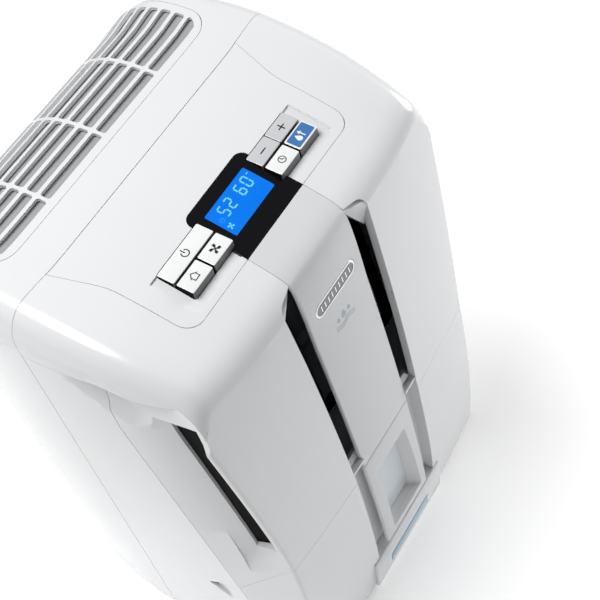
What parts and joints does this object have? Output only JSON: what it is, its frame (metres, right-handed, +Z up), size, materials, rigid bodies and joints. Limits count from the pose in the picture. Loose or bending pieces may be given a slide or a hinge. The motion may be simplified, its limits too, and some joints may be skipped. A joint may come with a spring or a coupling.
{
  "type": "dehumidifier",
  "caption": "Portable compressor dehumidifier with leaning front, pull-out water tank, sloping control panel, rear outlet grille and swivel casters.",
  "frame": {"origin": "on the floor under the middle of the body", "axes": "+Z up, -Y towards the person in front of the tank and the spine, +X to the right of that person, who looks along +Y"},
  "size_m": [0.345, 0.3299, 0.51],
  "materials": {
    "white_plastic": "glossy white injection moulding",
    "satin_plastic": "satin off-white",
    "white_key": "gloss white",
    "silver_key": "light silver",
    "blue_key": "blue with a pale frame",
    "black_plastic": "matte black",
    "black_gloss": "gloss black window",
    "display_blue": "lit blue display",
    "pale_blue": "translucent pale blue",
    "clear_plastic": "translucent",
    "bright_metal": "bright",
    "fin_aluminium": "thin fins",
    "copper": "drawn copper",
    "dark_metal": "black paint",
    "rubber": "matte",
    "circuit_board": "solder mask",
    "foam": "open cell"
  },
  "bodies": {
    "body": {"front_housing": "white_plastic", "left_side_panel": "white_plastic", "right_side_panel": "white_plastic", "rear_housing": "white_plastic", "outlet_grille": "white_plastic", "rear_screw_1": "bright_metal", "rear_screw_2": "bright_metal", "control_panel": "white_plastic", "display_window": "black_gloss", "lcd_module": "display_blue", "control_board": "circuit_board", "centre_spine": "satin_plastic", "badge": "silver_key", "base_deck": "dark_metal", "front_intake_guard": "black_plastic", "middle_deck": "satin_plastic", "drip_tray": "satin_plastic", "evaporator": "fin_aluminium", "condenser": "fin_aluminium", "fan_scroll": "satin_plastic", "fan_motor": "dark_metal", "compressor_mount": "rubber", "compressor": "dark_metal", "accumulator": "dark_metal", "discharge_line": "copper", "suction_line": "copper", "capillary_tube": "copper", "condensate_pump": "black_plastic", "drain_hose": "rubber", "hose_outlet": "satin_plastic", "cable_gland": "black_plastic", "run_capacitor": "bright_metal"},
    "tank": {"tank_front": "white_plastic", "indicator_strip": "pale_blue", "spine_grip": "satin_plastic", "level_window": "clear_plastic", "water_tank": "clear_plastic", "tank_lid": "clear_plastic"},
    "handle": {"tank_handle": "satin_plastic"},
    "float_body": {"float_arm": "satin_plastic", "float": "foam"},
    "filter_cassette": {"intake_grille": "white_plastic", "air_filter": "foam"},
    "impeller": {"fan_impeller": "black_plastic"},
    "power": {"power_key": "white_key"},
    "fan_speed": {"fan_key": "white_key"},
    "eco": {"eco_key": "white_key"},
    "minus": {"minus_key": "silver_key"},
    "plus": {"plus_key": "silver_key"},
    "timer": {"timer_key": "silver_key"},
    "pump": {"pump_key": "blue_key"},
    "fork_front_left": {"caster_fork_front_left": "dark_metal"},
    "wheel_front_left": {"caster_wheel_front_left": "rubber"},
    "fork_front_right": {"caster_fork_front_right": "dark_metal"},
    "wheel_front_right": {"caster_wheel_front_right": "rubber"},
    "fork_rear_left": {"caster_fork_rear_left": "dark_metal"},
    "wheel_rear_left": {"caster_wheel_rear_left": "rubber"},
    "fork_rear_right": {"caster_fork_rear_right": "dark_metal"},
    "wheel_rear_right": {"caster_wheel_rear_right": "rubber"}
  },
  "joints": [
    {"name": "tank_slide", "type": "slide", "parent": "body", "child": "tank", "axis": [0, -1, 0], "range_m": [0, 0.2]},
    {"name": "handle_hinge", "type": "hinge", "parent": "tank", "child": "handle", "pos_m": [0, -0.088, 0.204], "axis": [1, 0, 0], "range_deg": [0, 90]},
    {"name": "float_hinge", "type": "hinge", "parent": "tank", "child": "float_body", "pos_m": [0, -0.03, 0.186], "axis": [-1, 0, 0], "range_deg": [0, 65]},
    {"name": "filter_slide", "type": "slide", "parent": "body", "child": "filter_cassette", "axis": [0, 1, 0], "range_m": [0, 0.06]},
    {"name": "fan_spin", "type": "hinge", "parent": "body", "child": "impeller", "pos_m": [0, 0.055, 0.335], "axis": [0, 1, 0], "continuous": true},
    {"name": "power_press", "type": "slide", "parent": "body", "child": "power", "axis": [0, 0, -1], "range_m": [0, 0.0012], "stiffness_N_per_m": 1200},
    {"name": "fan_speed_press", "type": "slide", "parent": "body", "child": "fan_speed", "axis": [0, 0, -1], "range_m": [0, 0.0012], "stiffness_N_per_m": 1200},
    {"name": "eco_press", "type": "slide", "parent": "body", "child": "eco", "axis": [0, 0, -1], "range_m": [0, 0.0012], "stiffness_N_per_m": 1200},
    {"name": "minus_press", "type": "slide", "parent": "body", "child": "minus", "axis": [0, 0, -1], "range_m": [0, 0.0012], "stiffness_N_per_m": 1200},
    {"name": "plus_press", "type": "slide", "parent": "body", "child": "plus", "axis": [0, 0, -1], "range_m": [0, 0.0012], "stiffness_N_per_m": 1200},
    {"name": "timer_press", "type": "slide", "parent": "body", "child": "timer", "axis": [0, 0, -1], "range_m": [0, 0.0012], "stiffness_N_per_m": 1200},
    {"name": "pump_press", "type": "slide", "parent": "body", "child": "pump", "axis": [0, 0, -1], "range_m": [0, 0.0012], "stiffness_N_per_m": 1200},
    {"name": "swivel_front_left", "type": "hinge", "parent": "body", "child": "fork_front_left", "pos_m": [-0.1105, -0.108, 0.03], "axis": [0, 0, 1], "continuous": true},
    {"name": "roll_front_left", "type": "hinge", "parent": "fork_front_left", "child": "wheel_front_left", "pos_m": [-0.1105, -0.101, 0.013], "axis": [1, 0, 0], "continuous": true},
    {"name": "swivel_front_right", "type": "hinge", "parent": "body", "child": "fork_front_right", "pos_m": [0.1105, -0.108, 0.03], "axis": [0, 0, 1], "continuous": true},
    {"name": "roll_front_right", "type": "hinge", "parent": "fork_front_right", "child": "wheel_front_right", "pos_m": [0.1105, -0.101, 0.013], "axis": [1, 0, 0], "continuous": true},
    {"name": "swivel_rear_left", "type": "hinge", "parent": "body", "child": "fork_rear_left", "pos_m": [-0.1105, 0.108, 0.03], "axis": [0, 0, 1], "continuous": true},
    {"name": "roll_rear_left", "type": "hinge", "parent": "fork_rear_left", "child": "wheel_rear_left", "pos_m": [-0.1105, 0.115, 0.013], "axis": [1, 0, 0], "continuous": true},
    {"name": "swivel_rear_right", "type": "hinge", "parent": "body", "child": "fork_rear_right", "pos_m": [0.1105, 0.108, 0.03], "axis": [0, 0, 1], "continuous": true},
    {"name": "roll_rear_right", "type": "hinge", "parent": "fork_rear_right", "child": "wheel_rear_right", "pos_m": [0.1105, 0.115, 0.013], "axis": [1, 0, 0], "continuous": true}
  ]
}
